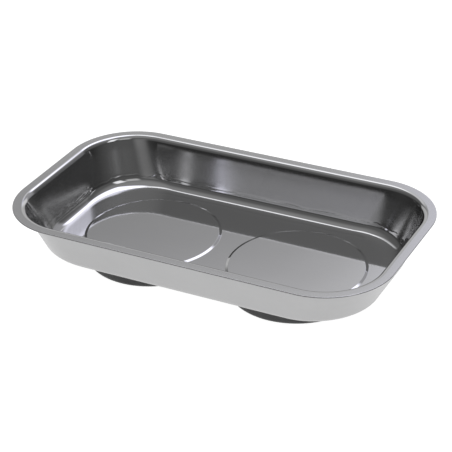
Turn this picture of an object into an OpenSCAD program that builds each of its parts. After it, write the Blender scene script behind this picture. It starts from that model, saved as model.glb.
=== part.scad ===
// Magnetic parts tray: a pressed stainless dish on two rubber-covered ring magnets.
// Origin: the middle of the surface that the tray stands on. +X is its length, +Z is up.

/* [Tray] */
// Length over the rim
tray_l = 240; // [230:1:320]
// Width over the rim
tray_w = 140; // [134:1:200]
// Height of the rim above the inside floor
basin_depth = 29.2; // [22:0.1:45]
// Thickness of the pressed sheet
sheet_t = 0.7; // [0.5:0.1:1]
// Width of the flat flange round the rim
flange_w = 4.7; // [2:0.1:9]
// Bend radius from the flange to the wall, on the upper face
bend_r = 3.5; // [1.5:0.1:5]
// Lean of the wall from upright, in degrees
wall_lean = 17; // [10:0.1:24]
// Radius of the cove from the wall to the floor, on the inside
cove_r = 6.5; // [4:0.5:10]
// Corner radius of the rim in plan
rim_corner_r = 41.5; // [36:0.5:50]
// Corner radius of the flat floor in plan
floor_corner_r = 41; // [20:0.5:44]

/* [Raised discs] */
// Rise of each disc above the floor
disc_rise = 0.5; // [0.4:0.1:1.5]
// Width of the sloping edge of each disc
disc_edge_w = 1.6; // [0.8:0.1:2.5]
// Room between a boot and the recess under its disc
disc_seat_gap = 0.35; // [0.1:0.05:1]

/* [Magnetic bases] */
// Distance between the centres of the two bases
base_pitch = 96; // [92:1:110]
// Outer diameter of the ring magnet
magnet_d = 74.6; // [60:0.2:76]
// Thickness of the ring magnet
magnet_t = 10.5; // [8.5:0.5:14]
// Thickness of the boot under the magnet
boot_web_t = 3.2; // [2.4:0.1:5]
// Thickness of the boot's wall at its top
boot_wall_t = 2.4; // [1.2:0.1:4]
// How far the boot's wall spreads from top to bottom
boot_draft = 1.5; // [0.2:0.1:2]
// Radius of the boot's lower edge
boot_edge_r = 2.2; // [0.5:0.1:2.8]
// Room between the magnet and the boot's wall
magnet_gap = 0.2; // [0.1:0.05:0.5]
// Room between the magnet's bore and the clamp cup
bore_gap = 0.9; // [0.3:0.1:1.5]

/* [Clamping] */
// Thread diameter of the weld stud
stud_d = 6; // [5:1:6]
// Diameter of the stud's welded flange
stud_flange_d = 9; // [8:0.5:12]
// Thickness of the stud's welded flange
stud_flange_t = 1; // [0.6:0.1:1.6]
// Height of the stud's tip above the table
stud_tip_h = 0.8; // [0.3:0.1:1.2]
// Width of the nut across its flats
nut_af = 10; // [8:1:10]
// Height of the nut
nut_h = 5; // [4:0.1:5.2]
// Height of the nut's lower face above the table
nut_sink = 1.5; // [1.2:0.1:2.5]
// Outer diameter of the spring washer
washer_d = 11.8; // [9:0.1:12.4]
// Thickness of the spring washer
washer_t = 1.6; // [1.2:0.1:1.6]
// Width of the spring washer's slit
washer_slit_w = 0.8; // [0.4:0.1:1.2]
// Outer diameter of the clamp cup's crown
cup_crown_d = 20; // [18:0.5:21]
// Outer diameter of the clamp cup's flange
cup_flange_d = 32; // [27:0.5:40]
// Thickness of the clamp cup's sheet
cup_t = 1; // [0.6:0.1:1.2]
// Inside bend radius of the clamp cup
cup_bend_r = 0.8; // [0.4:0.1:1.2]
// Height of the clamp cup's flange above the table
cup_sink = 0.6; // [0.3:0.1:1]
// Room between the clamp cup and the boot
cup_gap = 0.3; // [0.1:0.05:0.6]
// Room round the thread in the nut, the washer and the clamp cup
thread_gap = 0.1; // [0.05:0.05:0.2]

/* [Hidden] */
$fn = 96;

// Steps in a quarter turn in plan, and in each bend of the sheet
corner_steps = 12;
bend_steps = 5;
cove_steps = 7;
// Overrun of every cut
cut = 1;
// Signs of the two bases along X
left = -1;
right = 1;

// Heights, from the table up: the boot and the magnet carry the ceiling of the disc's recess
seat_z = boot_web_t + magnet_t;
floor_z = seat_z + sheet_t - disc_rise;
rim_z = floor_z + basin_depth;

// Radii of a base and of the raised disc that it seats in
cavity_r = magnet_d / 2 + magnet_gap;
boot_top_r = cavity_r + boot_wall_t;
boot_foot_r = boot_top_r + boot_draft;
recess_r = boot_top_r + disc_seat_gap;
disc_top_r = recess_r + sheet_t * tan(atan(disc_rise / disc_edge_w) / 2);
disc_foot_r = disc_top_r + disc_edge_w;
edge_run_share = disc_edge_w / disc_rise;

// Heights of the clamping stack
cup_crown_z = nut_sink + nut_h + washer_t;
cup_seat_z = cup_sink + cup_t;
cup_hole_r = cup_crown_d / 2 + cup_gap;
magnet_bore_r = cup_crown_d / 2 + bore_gap;
thread_hole_r = stud_d / 2 + thread_gap;

// Insets from the rim: where the wall starts below the bend, and the middle of the cove's arc,
// which is placed so that the straight wall is tangent to the bend and to the cove
wall_top_inset = flange_w + bend_r * cos(wall_lean);
cove_rise = basin_depth - bend_r - cove_r;
cove_inset = flange_w + (cove_rise * sin(wall_lean) + bend_r + cove_r) / cos(wall_lean);

// Corner radius of the sheet in plan at an inset: the bend keeps the rim's centres,
// and down the wall the corner changes evenly to the floor's own radius
wall_corner_r = rim_corner_r - wall_top_inset;
function wall_share(s) = (s - wall_top_inset) / (cove_inset - wall_top_inset);
function corner_r(s) = s < wall_top_inset
    ? rim_corner_r - s
    : wall_corner_r + (floor_corner_r - wall_corner_r) * wall_share(s);

// One level ring of the sheet, counter-clockwise from above, at an inset and a height
function ring(s, z) = [
    for (quarter = [0:3], i = [0:corner_steps])
        let (r = corner_r(s))
        let (a = 90 * (quarter + i / corner_steps))
        let (side_x = quarter == 0 || quarter == 3 ? 1 : -1)
        let (side_y = quarter < 2 ? 1 : -1)
        [
            side_x * (tray_l / 2 - s - r) + r * cos(a),
            side_y * (tray_w / 2 - s - r) + r * sin(a),
            z
        ]
];

// Section of one face of the sheet from the floor to the rim, as [inset, height] points.
// depth is 0 on the upper face and the sheet's thickness on the lower one.
function cove_points(depth) = [
    for (i = [0:cove_steps])
        let (a = 90 - (90 - wall_lean) * i / cove_steps)
        let (r = cove_r + depth)
        [cove_inset - r * cos(a), floor_z + cove_r - r * sin(a)]
];
function bend_points(depth) = [
    for (i = [0:bend_steps])
        let (a = wall_lean + (90 - wall_lean) * i / bend_steps)
        let (r = bend_r - depth)
        [flange_w + r * cos(a), rim_z - bend_r + r * sin(a)]
];
function face_points(depth) = concat(
    cove_points(depth),
    bend_points(depth),
    [[0, rim_z - depth]]
);
function reversed(list) = [for (i = [len(list) - 1:-1:0]) list[i]];

// Moves its children to the centre line of one base
module at_base(side) {
    translate([side * base_pitch / 2, 0, 0]) children();
}

// The pressed sheet with a plain floor: rings up the inside, over the rim and down the outside
module sheet() {
    section = concat(face_points(0), reversed(face_points(sheet_t)));
    rings = [for (p = section) ring(p[0], p[1])];
    count = len(rings[0]);
    last = len(rings) - 1;
    walls = [
        for (k = [0:last - 1], i = [0:count - 1])
            let (j = (i + 1) % count)
            [k * count + i, k * count + j, (k + 1) * count + j, (k + 1) * count + i]
    ];
    inside_floor = [for (i = [count - 1:-1:0]) i];
    outside_floor = [for (i = [0:count - 1]) last * count + i];
    polyhedron(
        points = [for (level = rings) each level],
        faces = concat(walls, [inside_floor, outside_floor]),
        convexity = 4
    );
}

// Raised disc of one base, from the middle of the sheet up
module disc_boss() {
    root_h = sheet_t / 2;
    translate([0, 0, floor_z - root_h])
        cylinder(
            h = disc_rise + root_h,
            r1 = disc_foot_r + root_h * edge_run_share,
            r2 = disc_top_r
        );
}

// Recess under a raised disc, cut from below
module disc_recess() {
    depth = disc_rise + cut;
    translate([0, 0, seat_z - depth])
        cylinder(h = depth, r1 = recess_r + depth * edge_run_share, r2 = recess_r);
}

module tray() {
    color("silver")
        difference() {
            union() {
                sheet();
                for (side = [left, right]) at_base(side) disc_boss();
            }
            for (side = [left, right]) at_base(side) disc_recess();
        }
}

// Stud welded under the disc, with a small lead-in at its tip
module weld_stud() {
    tip_chamfer = stud_d / 8;
    shank_z = stud_tip_h + tip_chamfer;
    flange_z = seat_z - stud_flange_t;
    color("lightgray") {
        translate([0, 0, stud_tip_h])
            cylinder(h = tip_chamfer, r1 = stud_d / 2 - tip_chamfer, r2 = stud_d / 2);
        translate([0, 0, shank_z])
            cylinder(h = flange_z - shank_z, d = stud_d);
        translate([0, 0, flange_z])
            cylinder(h = stud_flange_t, d = stud_flange_d);
    }
}

// Ferrite ring between the boot's web and the recess
module magnet() {
    color("dimgray")
        translate([0, 0, boot_web_t])
            rotate_extrude()
                translate([magnet_bore_r, 0])
                    square([magnet_d / 2 - magnet_bore_r, magnet_t]);
}

// Outline of the boot before it is hollowed, with a rounded lower edge
module boot_outline() {
    edge_x = boot_foot_r - boot_edge_r;
    square([edge_x, boot_edge_r]);
    intersection() {
        translate([edge_x, boot_edge_r]) circle(r = boot_edge_r);
        translate([edge_x, 0]) square(boot_edge_r);
    }
    polygon([
        [0, boot_edge_r],
        [boot_foot_r, boot_edge_r],
        [boot_top_r, seat_z],
        [0, seat_z],
    ]);
}

// Rubber cover: a wall round the magnet, a web under it and a sunk seat for the clamp cup
module boot() {
    color("#3a3a3a")
        rotate_extrude()
            difference() {
                boot_outline();
                translate([0, boot_web_t]) square([cavity_r, magnet_t + cut]);
                translate([0, -cut]) square([cup_hole_r, boot_web_t + 2 * cut]);
                translate([0, -cut]) square([cup_flange_d / 2 + cup_gap, cup_seat_z + cut]);
            }
}

// Quarter of a bent sheet in section, from the direction at turn degrees
module cup_bend(turn) {
    rotate(turn)
        intersection() {
            difference() {
                circle(r = cup_bend_r + cup_t);
                circle(r = cup_bend_r);
            }
            square(cup_bend_r + cup_t);
        }
}

// Pressed hat washer: its flange lifts the boot's web and its crown takes the nut
module clamp_cup() {
    wall_r = cup_crown_d / 2;
    crown_bend_x = wall_r - cup_t - cup_bend_r;
    crown_bend_z = cup_crown_z - cup_bend_r;
    flange_bend_x = wall_r + cup_bend_r;
    flange_bend_z = cup_seat_z + cup_bend_r;
    color("lightsteelblue")
        rotate_extrude() {
            translate([thread_hole_r, cup_crown_z])
                square([crown_bend_x - thread_hole_r, cup_t]);
            translate([crown_bend_x, crown_bend_z]) cup_bend(0);
            translate([wall_r - cup_t, flange_bend_z])
                square([cup_t, crown_bend_z - flange_bend_z]);
            translate([flange_bend_x, flange_bend_z]) cup_bend(180);
            translate([flange_bend_x, cup_sink])
                square([cup_flange_d / 2 - flange_bend_x, cup_t]);
        }
}

// Split spring washer, pressed flat between the nut and the crown
module lock_washer() {
    slit_turn = 60;
    color("gainsboro")
        translate([0, 0, nut_sink + nut_h])
            difference() {
                rotate_extrude()
                    translate([thread_hole_r, 0])
                        square([washer_d / 2 - thread_hole_r, washer_t]);
                translate([washer_d / 2, 0, washer_t / 2])
                    rotate([slit_turn - 90, 0, 0])
                        cube([washer_d, washer_slit_w, washer_t * 3], center = true);
            }
}

// Hex nut with chamfered corners on both faces
module nut() {
    point_r = nut_af / 2 / cos(30);
    chamfer_h = (point_r - nut_af / 2) * tan(30);
    color("lightgray")
        translate([0, 0, nut_sink])
            difference() {
                intersection() {
                    cylinder(h = nut_h, r = point_r, $fn = 6);
                    rotate_extrude()
                        polygon([
                            [0, 0],
                            [nut_af / 2, 0],
                            [point_r + cut, chamfer_h + cut * tan(30)],
                            [point_r + cut, nut_h - chamfer_h - cut * tan(30)],
                            [nut_af / 2, nut_h],
                            [0, nut_h],
                        ]);
                }
                translate([0, 0, -cut]) cylinder(h = nut_h + 2 * cut, r = thread_hole_r);
            }
}

tray();
at_base(left) weld_stud();  // left_weld_stud
at_base(left) magnet();  // left_magnet
at_base(left) boot();  // left_boot
at_base(left) clamp_cup();  // left_clamp_cup
at_base(left) lock_washer();  // left_lock_washer
at_base(left) nut();  // left_nut
at_base(right) weld_stud();  // right_weld_stud
at_base(right) magnet();  // right_magnet
at_base(right) boot();  // right_boot
at_base(right) clamp_cup();  // right_clamp_cup
at_base(right) lock_washer();  // right_lock_washer
at_base(right) nut();  // right_nut
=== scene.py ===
import math

import bmesh
import bpy
from mathutils import Matrix, Vector


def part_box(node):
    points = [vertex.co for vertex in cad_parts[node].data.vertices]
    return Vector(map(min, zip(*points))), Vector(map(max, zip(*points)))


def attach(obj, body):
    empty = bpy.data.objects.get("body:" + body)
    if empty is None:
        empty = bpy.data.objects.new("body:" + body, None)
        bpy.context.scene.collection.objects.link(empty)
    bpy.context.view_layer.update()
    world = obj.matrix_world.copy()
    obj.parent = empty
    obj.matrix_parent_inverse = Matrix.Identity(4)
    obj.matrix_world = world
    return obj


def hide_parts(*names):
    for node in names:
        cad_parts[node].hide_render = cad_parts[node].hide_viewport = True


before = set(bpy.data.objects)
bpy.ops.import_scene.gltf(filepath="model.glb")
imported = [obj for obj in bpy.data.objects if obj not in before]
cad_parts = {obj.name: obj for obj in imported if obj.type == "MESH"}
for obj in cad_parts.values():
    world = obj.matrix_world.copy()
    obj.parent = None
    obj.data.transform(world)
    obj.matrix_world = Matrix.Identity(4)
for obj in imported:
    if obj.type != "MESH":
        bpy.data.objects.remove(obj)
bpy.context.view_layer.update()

# Lengths are in metres, angles in radians unless a name says degrees
MM = 0.001
FULL_TURN = 2 * math.pi
UPRIGHT = math.pi / 2
SIDES = {"left": -1, "right": 1}

# Where the pieces are: their boxes in the frame, for the left base where there are two
tray_low, tray_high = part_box("tray")
boot_low, boot_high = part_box("left_boot")
magnet_low, magnet_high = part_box("left_magnet")
cup_low, cup_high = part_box("left_clamp_cup")
washer_low, washer_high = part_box("left_lock_washer")
nut_low, nut_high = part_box("left_nut")
stud_low, stud_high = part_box("left_weld_stud")


def half_width(low, high):
    return (high.x - low.x) / 2


BASE_X = abs(boot_low.x + boot_high.x) / 2
SHEET_T = 0.7 * MM
FLOOR_Z = tray_low.z + SHEET_T
SEAT_Z = boot_high.z
CUP_T = 1.0 * MM
CUP_SEAT_Z = cup_low.z + CUP_T
CUP_HOLE_R = 10.3 * MM
THREAD_HOLE_R = 3.1 * MM
STUD_FLANGE_T = 1.0 * MM

# The named sizes that each piece's node tree takes
TRAY = {
    "Length": tray_high.x - tray_low.x,
    "Width": tray_high.y - tray_low.y,
    "Rim height": tray_high.z,
    "Floor height": FLOOR_Z,
    "Sheet thickness": SHEET_T,
    "Flange width": 4.7 * MM,
    "Bend radius": 3.5 * MM,
    "Wall lean": math.radians(16.2),
    "Cove radius": 6.5 * MM,
    "Rim corner radius": 41.5 * MM,
    "Floor corner radius": 41.0 * MM,
    "Disc centre": BASE_X,
    "Disc rise": SEAT_Z + SHEET_T - FLOOR_Z,
    "Disc top radius": 40.2 * MM,
    "Disc edge width": 1.6 * MM,
    "Disc edge rounding": 1.0 * MM,
}
BOOT = {
    "Top radius": 39.9 * MM,
    "Foot radius": half_width(boot_low, boot_high),
    "Cavity radius": 37.5 * MM,
    "Seat height": SEAT_Z,
    "Web thickness": magnet_low.z,
    "Lower edge radius": 2.2 * MM,
    "Cup seat radius": half_width(cup_low, cup_high) + 0.3 * MM,
    "Cup seat height": CUP_SEAT_Z,
    "Cup hole radius": CUP_HOLE_R,
    "Edge rounding": 0.3 * MM,
    "Shoulder rounding": 0.6 * MM,
}
MAGNET = {
    "Radius": half_width(magnet_low, magnet_high),
    "Bore radius": 10.9 * MM,
    "Foot height": magnet_low.z,
    "Top height": magnet_high.z,
    "Edge rounding": 0.5 * MM,
}
CUP = {
    "Crown radius": 10.0 * MM,
    "Flange radius": half_width(cup_low, cup_high),
    "Flange height": cup_low.z,
    "Crown height": cup_high.z - CUP_T,
    "Sheet thickness": CUP_T,
    "Bend radius": 0.8 * MM,
    "Hole radius": THREAD_HOLE_R,
    "Edge rounding": 0.25 * MM,
}
WASHER = {
    "Outer radius": half_width(washer_low, washer_high),
    "Hole radius": THREAD_HOLE_R,
    "Foot height": washer_low.z,
    "Top height": washer_high.z,
    "Slit width": 0.8 * MM,
    "Edge rounding": 0.15 * MM,
}
NUT = {
    "Width across flats": 10.0 * MM,
    "Hole radius": THREAD_HOLE_R,
    "Foot height": nut_low.z,
    "Top height": nut_high.z,
    "Chamfer slope": math.tan(math.radians(30)),
    "Hole chamfer": 0.4 * MM,
}
STUD = {
    "Thread radius": 3.0 * MM,
    "Thread depth": 0.5 * MM,
    "Thread pitch": 1.0 * MM,
    "Tip height": stud_low.z,
    "Tip chamfer": 0.75 * MM,
    "Flange radius": half_width(stud_low, stud_high),
    "Flange height": stud_high.z - STUD_FLANGE_T,
    "Flange rounding": 0.1 * MM,
    "Seat height": stud_high.z,
}

# Steps of the meshes: a corner or a side of the rim, the whole rim, a rounding, a disc and a turned
# piece, and the rows of a thread and of a nut
CORNER_STEPS = 32
RIM_STEPS = 8 * CORNER_STEPS
ROUND_STEPS = 12
DISC_STEPS = 192
TURNED_STEPS = 96
THREAD_ROWS = 150
NUT_ROWS = 9
# How far the sheet's section runs on into the floor, and the widest seam that is closed
LEAD = 0.6 * MM
SEAM = 0.002 * MM
# Rounding of the rim's cut edge as a share of the sheet's thickness, a little under a half round
RIM_EDGE_SHARE = 0.49
# Edges that turn by more than this stay sharp
SHARP_ANGLE = math.radians(35)


class Wire:
    """A number on a wire of a node tree. Sums on it add Math nodes to that tree."""

    def __init__(self, tree, socket):
        self.tree = tree
        self.socket = socket

    def math(self, operation, *others):
        node = self.tree.nodes.new("ShaderNodeMath")
        node.operation = operation
        for socket, value in zip(node.inputs, (self, *others)):
            plug(self.tree, socket, value)
        return Wire(self.tree, node.outputs[0])

    def __add__(self, other):
        return self.math("ADD", other)

    def __sub__(self, other):
        return self.math("SUBTRACT", other)

    def __mul__(self, other):
        return self.math("MULTIPLY", other)

    def __truediv__(self, other):
        return self.math("DIVIDE", other)

    def __rsub__(self, other):
        return (self - other) * -1

    __radd__ = __add__
    __rmul__ = __mul__


def plug(tree, socket, value):
    """Sets a socket to a number, a colour or a wire."""
    if isinstance(value, Wire):
        tree.links.new(value.socket, socket)
    elif isinstance(value, bpy.types.NodeSocket):
        tree.links.new(value, socket)
    else:
        socket.default_value = value


def add_node(tree, kind, inputs=None, **settings):
    """Adds a node with its settings, and its inputs by name or number."""
    node = tree.nodes.new(kind)
    for name, value in settings.items():
        setattr(node, name, value)
    for name, value in (inputs or {}).items():
        plug(tree, node.inputs[name], value)
    return node


def ease(value, low, high):
    """Rises smoothly from 0 at low to 1 at high, or falls where low is the larger."""
    step = add_node(
        value.tree,
        "ShaderNodeMapRange",
        {"Value": value, "From Min": low, "From Max": high},
        interpolation_type="SMOOTHSTEP",
    )
    return Wire(value.tree, step.outputs["Result"])


# Geometry Nodes

def geometry_tree(name, sizes):
    """An empty tree with a named input for each size. Returns the tree and the inputs' wires."""
    tree = bpy.data.node_groups.new(name, "GeometryNodeTree")
    tree.interface.new_socket("Geometry", in_out="OUTPUT", socket_type="NodeSocketGeometry")
    for size in sizes:
        tree.interface.new_socket(size, in_out="INPUT", socket_type="NodeSocketFloat")
    entry = tree.nodes.new("NodeGroupInput")
    return tree, {size: Wire(tree, entry.outputs[size]) for size in sizes}


def joined(tree, parts):
    """Several parts as one."""
    node = add_node(tree, "GeometryNodeJoinGeometry")
    for part in parts:
        tree.links.new(part, node.inputs[0])
    return node.outputs[0]


def end_tree(tree, parts, material):
    """Joins the parts of a tree, closes their seams and gives them their finish."""
    inputs = {"Geometry": joined(tree, parts), "Distance": SEAM}
    closed = add_node(tree, "GeometryNodeMergeByDistance", inputs)
    real = add_node(tree, "GeometryNodeRealizeInstances", {"Geometry": closed.outputs[0]})
    inputs = {"Geometry": real.outputs[0], "Material": material}
    finish = add_node(tree, "GeometryNodeSetMaterial", inputs)
    leave = tree.nodes.new("NodeGroupOutput")
    tree.links.new(finish.outputs[0], leave.inputs[0])
    return tree


def kept_mesh(piece):
    """What a piece's modifiers make, as a plain mesh. The modifiers are removed."""
    depsgraph = bpy.context.evaluated_depsgraph_get()
    made = bpy.data.meshes.new_from_object(
        piece.evaluated_get(depsgraph), preserve_all_data_layers=True, depsgraph=depsgraph
    )
    piece.modifiers.clear()
    piece.data = made
    return made


def grow(tree, name, sizes):
    """Runs a tree once and keeps what it made, with faces that point outwards and even shading."""
    piece = bpy.data.objects.new(name, bpy.data.meshes.new(name))
    bpy.context.scene.collection.objects.link(piece)
    modifier = piece.modifiers.new("shape", "NODES")
    modifier.node_group = tree
    for item in tree.interface.items_tree:
        if item.in_out == "INPUT":
            modifier[item.identifier] = sizes[item.name]
    face_outwards(kept_mesh(piece))
    piece.modifiers.new("shading", "WEIGHTED_NORMAL").keep_sharp = True
    kept_mesh(piece).name = name
    return piece


def face_outwards(mesh):
    shape = bmesh.new()
    shape.from_mesh(mesh)
    bmesh.ops.recalc_face_normals(shape, faces=shape.faces[:])
    for face in shape.faces:
        face.smooth = True
    shape.to_mesh(mesh)
    shape.free()
    mesh.set_sharp_from_angle(angle=SHARP_ANGLE)


def point(tree, x, y, z):
    return add_node(tree, "ShaderNodeCombineXYZ", {"X": x, "Y": y, "Z": z}).outputs[0]


def index_wire(tree):
    return Wire(tree, add_node(tree, "GeometryNodeInputIndex").outputs[0])


def position(tree):
    return add_node(tree, "GeometryNodeInputPosition").outputs[0]


def axes(tree, vector):
    """A vector's three numbers."""
    node = add_node(tree, "ShaderNodeSeparateXYZ", {0: vector})
    return [Wire(tree, socket) for socket in node.outputs]


def moved(tree, mesh, place):
    inputs = {"Geometry": mesh, "Position": place}
    return add_node(tree, "GeometryNodeSetPosition", inputs).outputs[0]


def shifted(tree, part, x=0.0, y=0.0, z=0.0):
    """A part moved as a whole."""
    inputs = {"Geometry": part, "Translation": point(tree, x, y, z)}
    return add_node(tree, "GeometryNodeTransform", inputs).outputs[0]


def marked(tree, part, name, value, kind="FLOAT"):
    """Writes a number or a vector on every point of a part, for its finish to read."""
    node = add_node(tree, "GeometryNodeStoreNamedAttribute", data_type=kind)
    for socket, content in (("Geometry", part), ("Name", name), ("Value", value)):
        plug(tree, node.inputs[socket], content)
    return node.outputs[0]


def chosen(tree, kind, values, index):
    """One of several values, by number."""
    node = add_node(tree, "GeometryNodeIndexSwitch", {"Index": index}, data_type=kind)
    while len(node.index_switch_items) < len(values):
        node.index_switch_items.new()
    for socket, value in zip(list(node.inputs)[1:], values):
        plug(tree, socket, value)
    return node.outputs[0]


def section(tree, corners):
    """A piece's section as a curve through corners, each with a reach, a height and a rounding."""
    index = index_wire(tree)
    line = add_node(tree, "GeometryNodeMeshLine", {"Count": len(corners)}).outputs[0]
    spots = [point(tree, reach, 0.0, height) for reach, height, rounding in corners]
    line = moved(tree, line, chosen(tree, "VECTOR", spots, index))
    curve = add_node(tree, "GeometryNodeMeshToCurve", {"Mesh": line}).outputs[0]
    rounding = chosen(tree, "FLOAT", [corner[2] for corner in corners], index)
    inputs = {"Curve": curve, "Count": ROUND_STEPS, "Radius": rounding}
    return add_node(tree, "GeometryNodeFilletCurve", inputs, mode="POLY").outputs[0]


def grid(tree, columns, rows):
    """A grid with the share round it and the number of the row for each point."""
    mesh = add_node(tree, "GeometryNodeMeshGrid", {"Vertices X": columns + 1, "Vertices Y": rows})
    index = index_wire(tree)
    column = (index / rows).math("FLOOR")
    return mesh.outputs["Mesh"], column / columns, index - column * rows


def carried(tree, curve, columns, place):
    """A section carried round a piece: place(turn, reach, height) gives each point.

    Each point keeps its share along the section and its direction round the piece.
    """
    size = add_node(tree, "GeometryNodeAttributeDomainSize", {"Geometry": curve}, component="CURVE")
    rows = Wire(tree, size.outputs["Point Count"])
    mesh, turn, row = grid(tree, columns, rows)
    inputs = {"Geometry": curve, "Value": position(tree), "Index": row}
    spot = add_node(tree, "GeometryNodeSampleIndex", inputs, data_type="FLOAT_VECTOR").outputs[0]
    reach, _, height = axes(tree, spot)
    mesh = marked(tree, mesh, "along_section", row / (rows - 1))
    mesh = marked(tree, mesh, "round_piece", turned_point(tree, turn, 1.0, 0.0), "FLOAT_VECTOR")
    return moved(tree, mesh, place(turn, reach, height))


def turned_point(tree, turn, radius, height):
    angle = turn * FULL_TURN
    return point(tree, angle.math("COSINE") * radius, angle.math("SINE") * radius, height)


def turned(tree, corners, columns=TURNED_STEPS):
    """A section turned about the middle of a base."""
    curve = section(tree, corners)
    return carried(tree, curve, columns, lambda *spot: turned_point(tree, *spot))


def ring_curve(tree, steps, place):
    """A closed curve: place(turn) gives a point from the share round it."""
    circle = add_node(tree, "GeometryNodeMeshCircle", {"Vertices": steps})
    ring = moved(tree, circle.outputs[0], place(index_wire(tree) / steps))
    return add_node(tree, "GeometryNodeMeshToCurve", {"Mesh": ring}).outputs[0]


def level_fill(tree, curves, height):
    """A level sheet inside the first curve and outside the others."""
    flat = add_node(tree, "GeometryNodeFillCurve", {"Curve": joined(tree, curves)}).outputs[0]
    return shifted(tree, flat, z=height)


# The pressed tray

def rim_ring(tree, size, turn, inset, height):
    """A point of the sheet's level ring at an inset from the rim: four corners and four sides."""
    quarters = turn * 4
    quarter = quarters.math("FLOOR")
    part = (quarters - quarter) * 2
    angle = (quarter + part.math("MINIMUM", 1)) * UPRIGHT
    run = quarter + (part - 1).math("MAXIMUM", 0)
    side_x, side_y = (
        ((1 - ((run - start).math("FLOORED_MODULO", 4) - 2).math("ABSOLUTE")) * 2)
        .math("MAXIMUM", -1)
        .math("MINIMUM", 1)
        for start in (1.5, 2.5)
    )
    wall_radius = size["Rim corner radius"] - size["wall top inset"]
    share = (inset - size["wall top inset"]) / (size["cove inset"] - size["wall top inset"])
    radius = wall_radius + (size["Floor corner radius"] - wall_radius) * share
    radius = radius.math("MAXIMUM", size["Rim corner radius"] - inset)
    x = side_x * (size["Length"] / 2 - inset - radius) + radius * angle.math("COSINE")
    y = side_y * (size["Width"] / 2 - inset - radius) + radius * angle.math("SINE")
    return point(tree, x, y, height)


def corner_reach(lean):
    """How far a rounding of unit radius reaches along a level sheet from its corner with a wall."""
    return ((UPRIGHT - lean) / 2).math("TANGENT")


def add_wall_insets(size):
    """Adds the insets from the rim at which the wall's corners lie, worked out from its sizes."""
    lean = size["Wall lean"]
    fall = size["Rim height"] - size["Floor height"]
    size["head inset"] = size["Flange width"] + size["Bend radius"] * corner_reach(lean)
    size["foot inset"] = size["head inset"] + fall * lean.math("TANGENT")
    size["wall top inset"] = size["Flange width"] + size["Bend radius"] * lean.math("COSINE")
    size["cove inset"] = size["foot inset"] + size["Cove radius"] * corner_reach(lean)


def sheet_corners(size):
    """The corners of the sheet's section: up the inside, over the rim and down the outside."""
    thick = size["Sheet thickness"]
    floor, rim = size["Floor height"], size["Rim height"]
    inner = size["cove inset"] + LEAD
    outset = thick * corner_reach(size["Wall lean"])
    edge = thick * RIM_EDGE_SHARE
    return [
        (inner, floor, 0.0),
        (size["foot inset"], floor, size["Cove radius"]),
        (size["head inset"], rim, size["Bend radius"]),
        (0.0, rim, edge),
        (0.0, rim - thick, edge),
        (size["head inset"] - outset, rim - thick, size["Bend radius"] - thick),
        (size["foot inset"] - outset, floor - thick, size["Cove radius"] + thick),
        (inner, floor - thick, 0.0),
    ]


def disc_corners(size, step_radius):
    """The corners of a raised disc's edge, from the floor up to its top."""
    foot_radius = step_radius + size["Disc edge width"]
    rounding = size["Disc edge rounding"]
    return [
        (foot_radius + size["Disc edge width"], 0.0, 0.0),
        (foot_radius, 0.0, rounding),
        (step_radius, size["Disc rise"], rounding),
        (step_radius - size["Disc edge width"], size["Disc rise"], 0.0),
    ]


def sheet_floor(tree, size, height, step_radius, share):
    """One face of the floor: a level sheet with two raised discs."""
    corners = disc_corners(size, step_radius)

    def disc_ring(radius):
        return ring_curve(tree, DISC_STEPS, lambda turn: turned_point(tree, turn, radius, 0.0))

    def floor_ring(turn):
        return rim_ring(tree, size, turn, size["cove inset"] + LEAD, 0.0)

    disc = joined(tree, [
        turned(tree, corners, DISC_STEPS),
        level_fill(tree, [disc_ring(corners[-1][0])], size["Disc rise"]),
    ])
    gap = disc_ring(corners[0][0])
    discs = [shifted(tree, disc, x=size["Disc centre"] * side, z=height) for side in SIDES.values()]
    gaps = [shifted(tree, gap, x=size["Disc centre"] * side) for side in SIDES.values()]
    floor = level_fill(tree, [ring_curve(tree, RIM_STEPS, floor_ring), *gaps], height)
    return marked(tree, joined(tree, [*discs, floor]), "along_section", share)


def tray_tree(material):
    tree, size = geometry_tree("pressed_tray", TRAY)
    thick = size["Sheet thickness"]
    add_wall_insets(size)
    curve = section(tree, sheet_corners(size))
    wall = carried(tree, curve, RIM_STEPS, lambda *spot: rim_ring(tree, size, *spot))
    upper = sheet_floor(tree, size, size["Floor height"], size["Disc top radius"], 0.0)
    slope = (size["Disc rise"] / size["Disc edge width"]).math("ARCTANGENT") / 2
    under_radius = size["Disc top radius"] - thick * slope.math("TANGENT")
    lower = sheet_floor(tree, size, size["Floor height"] - thick, under_radius, 1.0)
    return end_tree(tree, [wall, upper, lower], material)


# The magnetic bases

def base_tree(name, sizes, material, shape):
    """A tree for one piece of a base, made about the middle and moved to the base."""
    tree, size = geometry_tree(name, {**sizes, "Base x": 0.0})
    parts = [shifted(tree, part, x=size["Base x"]) for part in shape(tree, size)]
    return end_tree(tree, parts, material)


def boot_shape(tree, size):
    """A cup of rubber with a hole in its web and a sunk seat round the hole."""
    edge = size["Edge rounding"]
    web_middle = (size["Cup hole radius"] + size["Cavity radius"]) / 2
    return [turned(tree, [
        (web_middle, size["Web thickness"], 0.0),
        (size["Cavity radius"], size["Web thickness"], edge),
        (size["Cavity radius"], size["Seat height"], edge),
        (size["Top radius"], size["Seat height"], size["Shoulder rounding"]),
        (size["Foot radius"], 0.0, size["Lower edge radius"]),
        (size["Cup seat radius"], 0.0, edge),
        (size["Cup seat radius"], size["Cup seat height"], edge),
        (size["Cup hole radius"], size["Cup seat height"], edge),
        (size["Cup hole radius"], size["Web thickness"], edge),
        (web_middle, size["Web thickness"], 0.0),
    ], DISC_STEPS)]


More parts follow.
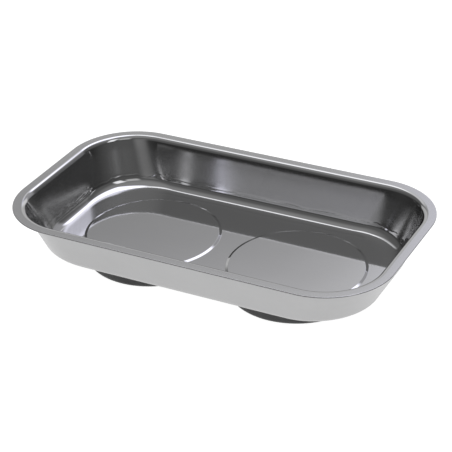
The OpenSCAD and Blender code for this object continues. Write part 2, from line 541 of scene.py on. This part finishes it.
def magnet_shape(tree, size):
    edge = size["Edge rounding"]
    middle = (size["Radius"] + size["Bore radius"]) / 2
    return [turned(tree, [
        (middle, size["Foot height"], 0.0),
        (size["Radius"], size["Foot height"], edge),
        (size["Radius"], size["Top height"], edge),
        (size["Bore radius"], size["Top height"], edge),
        (size["Bore radius"], size["Foot height"], edge),
        (middle, size["Foot height"], 0.0),
    ])]


def cup_shape(tree, size):
    """A hat pressed from sheet: a crown with a hole, a wall and a flange."""
    edge = size["Edge rounding"]
    thick = size["Sheet thickness"]
    inner_bend = size["Bend radius"]
    outer_bend = inner_bend + thick
    wall = size["Crown radius"]
    foot, crown = size["Flange height"], size["Crown height"]
    middle = (size["Hole radius"] + wall) / 2
    return [turned(tree, [
        (middle, crown, 0.0),
        (wall - thick, crown, inner_bend),
        (wall - thick, foot, outer_bend),
        (size["Flange radius"], foot, edge),
        (size["Flange radius"], foot + thick, edge),
        (wall, foot + thick, inner_bend),
        (wall, crown + thick, outer_bend),
        (size["Hole radius"], crown + thick, edge),
        (size["Hole radius"], crown, edge),
        (middle, crown, 0.0),
    ])]


def washer_shape(tree, size):
    """A split ring of square wire."""
    radius = (size["Outer radius"] + size["Hole radius"]) / 2
    height = size["Top height"] - size["Foot height"]
    slit = size["Slit width"] / radius
    path = add_node(tree, "GeometryNodeCurveArc", {
        "Resolution": TURNED_STEPS,
        "Radius": radius,
        "Start Angle": slit / 2,
        "Sweep Angle": FULL_TURN - slit,
    }, mode="RADIUS")
    wire = add_node(tree, "GeometryNodeCurvePrimitiveQuadrilateral", {
        "Width": size["Outer radius"] - size["Hole radius"],
        "Height": height,
    })
    wire = add_node(tree, "GeometryNodeFilletCurve", {
        "Curve": wire.outputs[0],
        "Count": ROUND_STEPS // 2,
        "Radius": size["Edge rounding"],
    }, mode="POLY")
    ring = add_node(tree, "GeometryNodeCurveToMesh", {
        "Curve": path.outputs["Curve"],
        "Profile Curve": wire.outputs[0],
        "Fill Caps": True,
    })
    return [shifted(tree, ring.outputs[0], z=size["Foot height"] + height / 2)]


def nut_shape(tree, size):
    """Rings from the hole over the lower face, up the six flats and back over the upper face."""
    flat = size["Width across flats"] / 2
    hole = size["Hole radius"]
    mouth = hole + size["Hole chamfer"]
    foot, top = size["Foot height"], size["Top height"]
    mesh, turn, row = grid(tree, TURNED_STEPS, NUT_ROWS)
    sixth = (turn * 6).math("FRACT") - 0.5
    outer = flat / (sixth * (FULL_TURN / 6)).math("COSINE")
    fall = (outer - flat) * size["Chamfer slope"]
    spots = [
        (hole, foot + size["Hole chamfer"]),
        (mouth, foot),
        (flat, foot),
        (outer, foot + fall),
        (outer, top - fall),
        (flat, top),
        (mouth, top),
        (hole, top - size["Hole chamfer"]),
        (hole, foot + size["Hole chamfer"]),
    ]
    places = [turned_point(tree, turn, radius, height) for radius, height in spots]
    return [moved(tree, mesh, chosen(tree, "VECTOR", places, row))]


def stud_shape(tree, size):
    """A thread with a chamfered tip, under a flat welding flange."""
    mesh, turn, row = grid(tree, TURNED_STEPS, THREAD_ROWS)
    tip, root = size["Tip height"], size["Flange height"]
    height = tip + (root - tip) * row / (THREAD_ROWS - 1)
    wave = ((height / size["Thread pitch"] - turn).math("FRACT") - 0.5).math("ABSOLUTE") * 2
    radius = size["Thread radius"] - size["Thread depth"] * wave
    cone = height - tip + size["Thread radius"] - size["Tip chamfer"] - size["Thread depth"] / 2
    thread = moved(tree, mesh, turned_point(tree, turn, radius.math("MINIMUM", cone), height))
    end_radius = size["Thread radius"] - size["Tip chamfer"] - size["Thread depth"] / 2
    end = ring_curve(tree, TURNED_STEPS, lambda share: turned_point(tree, share, end_radius, 0.0))
    flange = turned(tree, [
        (size["Thread radius"] / 2, root, 0.0),
        (size["Flange radius"], root, size["Flange rounding"]),
        (size["Flange radius"], size["Seat height"], size["Flange rounding"]),
        (0.0, size["Seat height"], 0.0),
    ])
    return [thread, level_fill(tree, [end], tip), flange]


# Finishes

def new_finish(name):
    """A material with an empty tree."""
    material = bpy.data.materials.new(name)
    material.use_nodes = True
    tree = material.node_tree
    tree.nodes.clear()
    return material, tree


def object_noise(tree, stretch, detail=3.0, turn=(0.0, 0.0, 0.0)):
    """Noise on the piece's own coordinates, with so many waves a metre along each axis."""
    place = add_node(tree, "ShaderNodeTexCoord").outputs["Object"]
    return noise_on(tree, place, stretch, detail, turn)


def noise_on(tree, place, stretch, detail=3.0, turn=(0.0, 0.0, 0.0)):
    inputs = {"Vector": place, "Rotation": turn, "Scale": stretch}
    mapping = add_node(tree, "ShaderNodeMapping", inputs)
    noise = add_node(tree, "ShaderNodeTexNoise", {
        "Vector": mapping.outputs[0],
        "Scale": 1.0,
        "Detail": detail,
    })
    return Wire(tree, noise.outputs[0])


def blend(low, high, share):
    return low + (high - low) * share


def varied(noise, plain, more):
    """A plain value and what a noise adds to it at most."""
    return plain + noise * more


def attribute(tree, name):
    return add_node(tree, "ShaderNodeAttribute", attribute_name=name)


def grey(tree, level, tint=(1.0, 1.0, 1.0)):
    """A colour from a level of grey and a slight tint."""
    node = add_node(tree, "ShaderNodeCombineColor")
    for socket, part in zip(node.inputs, tint):
        plug(tree, socket, level * part)
    return node.outputs[0]


def bumped(tree, *layers):
    """A normal from several heights, each a wire and a depth in metres."""
    normal = None
    for height, depth in layers:
        inputs = {"Height": height, "Distance": depth, "Strength": 1.0}
        if normal is not None:
            inputs["Normal"] = normal
        normal = add_node(tree, "ShaderNodeBump", inputs).outputs[0]
    return normal


def finish_with(tree, inputs):
    shader = add_node(tree, "ShaderNodeBsdfPrincipled", inputs)
    out = tree.nodes.new("ShaderNodeOutputMaterial")
    tree.links.new(shader.outputs[0], out.inputs["Surface"])


# Shares along the tray's section, from its inside floor over the rim to its outside floor,
# over which one zone of the finish passes into the next
WALL_FOOT_SHARES = (0.08, 0.15)
WALL_TOP_SHARES = (0.27, 0.19)
FLANGE_SHARES = (0.305, 0.335)
OUTSIDE_SHARES = (0.52, 0.56)
# The edge shares mark a darker band round the rim's cut edge, painted shade under the rim's lip
EDGE_SHADE_SHARES = (0.42, 0.47, 0.61, 0.67)
# Heights over which the walls turn from bright to drawn and dull, and to bright again under the rim
DULL_HEIGHTS = (18 * MM, 24 * MM)
BRIGHT_HEIGHTS = (34 * MM, 41 * MM)
# The wavy line that the punch left low on the walls: its height, how far it wanders and its width
PUNCH_LINE = (20 * MM, 5 * MM, 0.9 * MM)
# Noise runs from 0 to 1 about this value
NOISE_MIDDLE = 0.5

# Noises have a stretch, in waves a metre, or in waves over the radius for those that run round the
# tray. A pair is a plain value and what a noise adds to it. Depths are those of bumps.
STEEL_FINISH = {
    "grain": {"stretch": (60, 1500, 200), "turn": (0.0, 0.0, math.radians(-32))},
    "smudge": {"stretch": (45, 45, 90), "detail": 4.0},
    "wave": {"stretch": (22, 22, 30), "detail": 1.0},
    "ripple": {"stretch": (38, 38, 60), "detail": 0.0},
    "drawing round": {"stretch": (30, 30, 30), "detail": 1.0},
    "wander round": {"stretch": (7, 7, 7), "detail": 2.0},
    "tint": (1.0, 1.0, 1.005),
    "inside level": (0.585, 0.03),
    # The outside's grey is set darker than the inside as painted shade, for the shadowed table that
    # the outside reflects
    "outside shaded level": (0.43, 0.06),
    "wall loss": 0.035,
    # Darkening of the band round the rim's cut edge: painted shade under the rim's lip
    "cut edge shade loss": 0.65,
    "inside roughness": (0.04, 0.02),
    "dull roughness": (0.09, 0.07),
    "flange roughness": 0.1,
    "outside roughness": (0.26, 0.14),
    "grain depth": 0.002 * MM,
    "punch line depth": 0.03 * MM,
    "ripple depth": 0.03 * MM,
    "wave depth": 0.05 * MM,
}
RUBBER_FINISH = {
    "bloom": {"stretch": (120, 120, 200), "detail": 4.0},
    "pores": {"stretch": (1800, 1800, 1800), "detail": 2.0},
    "tint": (1.0, 1.0, 1.01),
    # The grey is set lighter than the rubber's black: painted light, for the light that the table
    # throws up under the tray
    "level": (0.13, 0.04),
    "roughness": (0.5, 0.2),
    "gloss": 0.9,
    "pore depth": 0.03 * MM,
}
FERRITE_FINISH = {
    "pits": {"stretch": (900, 900, 900), "detail": 5.0},
    "tint": (1.0, 1.0, 1.03),
    "level": (0.05, 0.06),
    "roughness": (0.45, 0.25),
    "pit depth": 0.05 * MM,
}
PLATED_FINISH = {
    "cloud": {"stretch": (260, 260, 260), "detail": 4.0},
    "marks": {"stretch": (1500, 1500, 250), "detail": 2.0},
    "tint": (1.0, 1.0, 0.985),
    "level": (0.58, 0.16),
    "roughness": (0.22, 0.2),
    "mark depth": 0.01 * MM,
}


def stainless():
    """Bright inside, satin outside, with the fine grain of rolled sheet."""
    material, tree = new_finish("stainless_sheet")
    steel = STEEL_FINISH
    along = Wire(tree, attribute(tree, "along_section").outputs["Fac"])
    around = attribute(tree, "round_piece").outputs["Vector"]
    _, _, height = axes(tree, add_node(tree, "ShaderNodeTexCoord").outputs["Object"])

    # Zones of the finish
    outside = ease(along, *OUTSIDE_SHARES)
    wall = ease(along, *WALL_FOOT_SHARES) * ease(along, *WALL_TOP_SHARES)
    flange = ease(along, *FLANGE_SHARES) * (1 - outside)
    # Painted shade: a darker band round the rim's cut edge, under its lip
    cut_edge_shade = ease(along, *EDGE_SHADE_SHARES[:2]) * (1 - ease(along, *EDGE_SHADE_SHARES[2:]))
    drawn = ease(height, *DULL_HEIGHTS)
    dull = wall * drawn * (1 - ease(height, *BRIGHT_HEIGHTS))

    # Marks of rolling, drawing and handling
    grain = object_noise(tree, **steel["grain"]) * (1 - wall)
    smudge = object_noise(tree, **steel["smudge"])
    wave = object_noise(tree, **steel["wave"])
    ripple = object_noise(tree, **steel["ripple"]) * wall * (1 - drawn)
    drawing = noise_on(tree, around, **steel["drawing round"])
    line_height, line_wander, line_width = PUNCH_LINE
    wander = (noise_on(tree, around, **steel["wander round"]) - NOISE_MIDDLE) * line_wander
    off_line = (height - line_height - wander).math("ABSOLUTE")
    punch_line = ease(off_line, line_width, 0.0) * wall

    inside_roughness = (
        varied(grain, *steel["inside roughness"])
        + dull * varied(drawing, *steel["dull roughness"])
        + flange * steel["flange roughness"]
    )
    outside_roughness = varied(smudge, *steel["outside roughness"])
    inside_level = varied(grain, *steel["inside level"]) - wall * steel["wall loss"]
    # Painted shade: the outside's darker grey stands in for the shadowed table it reflects; the
    # smudges are real
    outside_shaded_level = varied(smudge, *steel["outside shaded level"])
    level = blend(inside_level, outside_shaded_level, outside) * (1 - cut_edge_shade * steel["cut edge shade loss"])
    finish_with(tree, {
        "Base Color": grey(tree, level, steel["tint"]),
        "Metallic": 1.0,
        "Roughness": blend(inside_roughness, outside_roughness, outside),
        "Normal": bumped(
            tree,
            (grain, steel["grain depth"]),
            (punch_line, steel["punch line depth"]),
            (ripple, steel["ripple depth"]),
            (wave, steel["wave depth"]),
        ),
    })
    return material


def rubber():
    """Matt moulded rubber with a faint dusty bloom, its grey lifted with painted light from the
    table.
    """
    material, tree = new_finish("black_rubber")
    bloom = object_noise(tree, **RUBBER_FINISH["bloom"])
    pores = object_noise(tree, **RUBBER_FINISH["pores"])
    finish_with(tree, {
        # Painted light: the base grey is lifted above black rubber; the bloom's spread is dust
        "Base Color": grey(tree, varied(bloom, *RUBBER_FINISH["level"]), RUBBER_FINISH["tint"]),
        "Roughness": varied(bloom, *RUBBER_FINISH["roughness"]),
        "Specular IOR Level": RUBBER_FINISH["gloss"],
        "Normal": bumped(tree, (pores, RUBBER_FINISH["pore depth"])),
    })
    return material


def ferrite():
    """Ground ceramic with fine pits."""
    material, tree = new_finish("ferrite")
    pits = object_noise(tree, **FERRITE_FINISH["pits"])
    finish_with(tree, {
        "Base Color": grey(tree, varied(pits, *FERRITE_FINISH["level"]), FERRITE_FINISH["tint"]),
        "Roughness": varied(pits, *FERRITE_FINISH["roughness"]),
        "Normal": bumped(tree, (pits, FERRITE_FINISH["pit depth"])),
    })
    return material


def plated_steel():
    """Bright zinc with cloudy patches and fine drawing marks."""
    material, tree = new_finish("plated_steel")
    cloud = object_noise(tree, **PLATED_FINISH["cloud"])
    marks = object_noise(tree, **PLATED_FINISH["marks"])
    finish_with(tree, {
        "Base Color": grey(tree, varied(cloud, *PLATED_FINISH["level"]), PLATED_FINISH["tint"]),
        "Metallic": 1.0,
        "Roughness": varied(cloud, *PLATED_FINISH["roughness"]),
        "Normal": bumped(tree, (marks, PLATED_FINISH["mark depth"])),
    })
    return material


# The camera stands where the photograph was taken from

CAMERA_PLACE = (0.3841, -0.7191, 0.4955)
CAMERA_TURN_DEGREES = {"azimuth": 27.974, "elevation": 29.740, "roll": -1.869}
CAMERA_LENS = 126.59
CAMERA_SENSOR = 36.0


def make_camera():
    azimuth, elevation, roll = (math.radians(turn) for turn in CAMERA_TURN_DEGREES.values())
    back = Vector((
        math.sin(azimuth) * math.cos(elevation),
        -math.cos(azimuth) * math.cos(elevation),
        math.sin(elevation),
    ))
    level = Vector((math.cos(azimuth), math.sin(azimuth), 0.0))
    upright = back.cross(level)
    right = math.cos(roll) * level + math.sin(roll) * upright
    up = math.cos(roll) * upright - math.sin(roll) * level
    data = bpy.data.cameras.new("camera")
    data.lens = CAMERA_LENS
    data.sensor_width = CAMERA_SENSOR
    camera = bpy.data.objects.new("camera", data)
    turn = Matrix((right, up, back)).transposed().to_4x4()
    camera.matrix_world = Matrix.Translation(CAMERA_PLACE) @ turn
    bpy.context.scene.collection.objects.link(camera)
    bpy.context.scene.camera = camera


# Studio: soft boxes round the tray, a dim room and a white table.
# Headings go from straight behind the tray towards its right. A box reaches so far across and up
# from its middle, and fades over its edge. All these are in degrees. Blue is the share added to the
# blue of its light.

SOFT_BOXES = [
    # High behind the tray: the main light
    {"heading": -3, "height": 59, "roll": 0, "across": 12, "up": 17.5, "edge": 2.5,
     "level": 1.5, "blue": 0.16},
    # Further left: the highlight along the rim
    {"heading": -43, "height": 60, "roll": 0, "across": 10, "up": 8, "edge": 4,
     "level": 1.25, "blue": 0.05},
    # A dimmer wing below it
    {"heading": -37, "height": 44, "roll": 0, "across": 18, "up": 13, "edge": 5,
     "level": 0.62, "blue": 0.03},
    # A wide glow along the horizon behind
    {"heading": -27, "height": -4, "roll": 3, "across": 43, "up": 31.5, "edge": 4,
     "level": 0.535, "blue": 0.0},
    # A slanted glow behind on the right
    {"heading": 13, "height": 21, "roll": 39, "across": 18, "up": 30, "edge": 4,
     "level": 0.29, "blue": 0.06},
    # On the right, a little to the front
    {"heading": 108, "height": 42, "roll": 0, "across": 7, "up": 15, "edge": 3,
     "level": 1.25, "blue": 0.03},
    # Front right
    {"heading": 138, "height": 43, "roll": 0, "across": 10, "up": 12, "edge": 4,
     "level": 0.5, "blue": 0.0},
    # A dim glow in front
    {"heading": 172, "height": 20, "roll": 0, "across": 12, "up": 8, "edge": 7,
     "level": 0.15, "blue": 0.0},
    # Small and bluish, seen in the right flange
    {"heading": -14, "height": 29, "roll": 0, "across": 5.5, "up": 5, "edge": 2,
     "level": 0.14, "blue": 0.6},
]
# Levels of the dim room: at the height of the table, higher up and overhead
ROOM_LEVEL = 0.04
WALL_RISE = 0.105
CEILING_RISE = 0.2
# Sines of the heights over which the two rises come in
WALL_SINES = (0.05, 0.5)
CEILING_SINES = (0.6, 1.0)


def heading_vector(heading, height):
    heading, height = math.radians(heading), math.radians(height)
    return Vector((
        math.sin(heading) * math.cos(height),
        math.cos(heading) * math.cos(height),
        math.sin(height),
    ))


def soft_box(tree, way, box):
    """The light of one soft box from a direction: full inside its edges and fading across them."""
    ahead = heading_vector(box["heading"], box["height"])
    level = ahead.cross(Vector((0, 0, 1))).normalized()
    upright = level.cross(ahead)
    roll = math.radians(box["roll"])
    right = math.cos(roll) * level + math.sin(roll) * upright
    up = math.cos(roll) * upright - math.sin(roll) * level
    parts = []
    for axis in (ahead, right, up):
        node = add_node(tree, "ShaderNodeVectorMath", {0: way, 1: axis}, operation="DOT_PRODUCT")
        parts.append(Wire(tree, node.outputs["Value"]))
    light = box["level"]
    for side, reach in ((parts[1], box["across"]), (parts[2], box["up"])):
        angle = side.math("ABSOLUTE").math("ARCTAN2", parts[0])
        inner = math.radians(reach - box["edge"])
        outer = math.radians(reach + box["edge"])
        light = ease(angle, outer, inner) * light
    return light


def light_world():
    world = bpy.data.worlds.new("studio")
    world.use_nodes = True
    bpy.context.scene.world = world
    tree = world.node_tree
    tree.nodes.clear()
    way = add_node(tree, "ShaderNodeTexCoord").outputs["Generated"]
    _, _, sine = axes(tree, way)
    light = ease(sine, *WALL_SINES) * WALL_RISE + ease(sine, *CEILING_SINES) * CEILING_RISE
    light = light + ROOM_LEVEL
    blue = light
    for box in SOFT_BOXES:
        part = soft_box(tree, way, box)
        light = light + part
        blue = blue + part * (1 + box["blue"])
    colour = add_node(tree, "ShaderNodeCombineColor", {"Red": light, "Green": light, "Blue": blue})
    shade = add_node(tree, "ShaderNodeBackground", {"Color": colour.outputs[0]})
    out = tree.nodes.new("ShaderNodeOutputWorld")
    tree.links.new(shade.outputs[0], out.inputs["Surface"])


# Half the table's side in metres, the glow that the camera and reflections see, and its own grey
TABLE_HALF = 6.0
TABLE_GLOW = 0.94
TABLE_SHADE = 0.5


def make_table():
    """A wide white table top that the boots stand on."""
    mesh = bpy.data.meshes.new("table_top")
    corners = [(x * TABLE_HALF, y * TABLE_HALF, 0) for x, y in ((-1, -1), (1, -1), (1, 1), (-1, 1))]
    mesh.from_pydata(corners, [], [(0, 1, 2, 3)])
    table = bpy.data.objects.new("table_top", mesh)
    bpy.context.scene.collection.objects.link(table)
    material, tree = new_finish("table_white")
    path = add_node(tree, "ShaderNodeLightPath")
    seen = Wire(tree, path.outputs["Is Camera Ray"])
    seen = seen.math("MAXIMUM", Wire(tree, path.outputs["Is Glossy Ray"]))
    seen = seen.math("MAXIMUM", Wire(tree, path.outputs["Is Transmission Ray"]))
    matt = add_node(tree, "ShaderNodeBsdfDiffuse", {"Color": (TABLE_SHADE,) * 3 + (1.0,)})
    glow = add_node(tree, "ShaderNodeEmission", {"Strength": seen * TABLE_GLOW})
    both = add_node(tree, "ShaderNodeAddShader", {0: matt.outputs[0], 1: glow.outputs[0]})
    out = tree.nodes.new("ShaderNodeOutputMaterial")
    tree.links.new(both.outputs[0], out.inputs["Surface"])
    mesh.materials.append(material)


bpy.context.scene.view_settings.view_transform = "Standard"
make_camera()
light_world()
make_table()

STAINLESS = stainless()
RUBBER = rubber()
FERRITE = ferrite()
PLATED = plated_steel()

tray = grow(tray_tree(STAINLESS), "tray_sheet", TRAY)
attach(tray, "root")
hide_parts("tray")

# Each piece of a base: its node, its detailed piece, its sizes, its shape, its finish and its slot
BASE_PIECES = [
    ("boot", "rubber_boot", BOOT, boot_shape, RUBBER, "black_rubber"),
    ("magnet", "ring_magnet", MAGNET, magnet_shape, FERRITE, "ferrite"),
    ("clamp_cup", "hat_washer", CUP, cup_shape, PLATED, "plated_steel"),
    ("lock_washer", "spring_washer", WASHER, washer_shape, PLATED, "plated_steel"),
    ("nut", "hex_nut", NUT, nut_shape, PLATED, "plated_steel"),
    ("weld_stud", "threaded_stud", STUD, stud_shape, PLATED, "plated_steel"),
]
for node, name, sizes, shape, finish, slot in BASE_PIECES:
    tree = base_tree(name, sizes, finish, shape)
    for side, sign in SIDES.items():
        piece = grow(tree, f"{side}_{name}", {**sizes, "Base x": sign * BASE_X})
        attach(piece, "root")
        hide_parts(f"{side}_{node}")
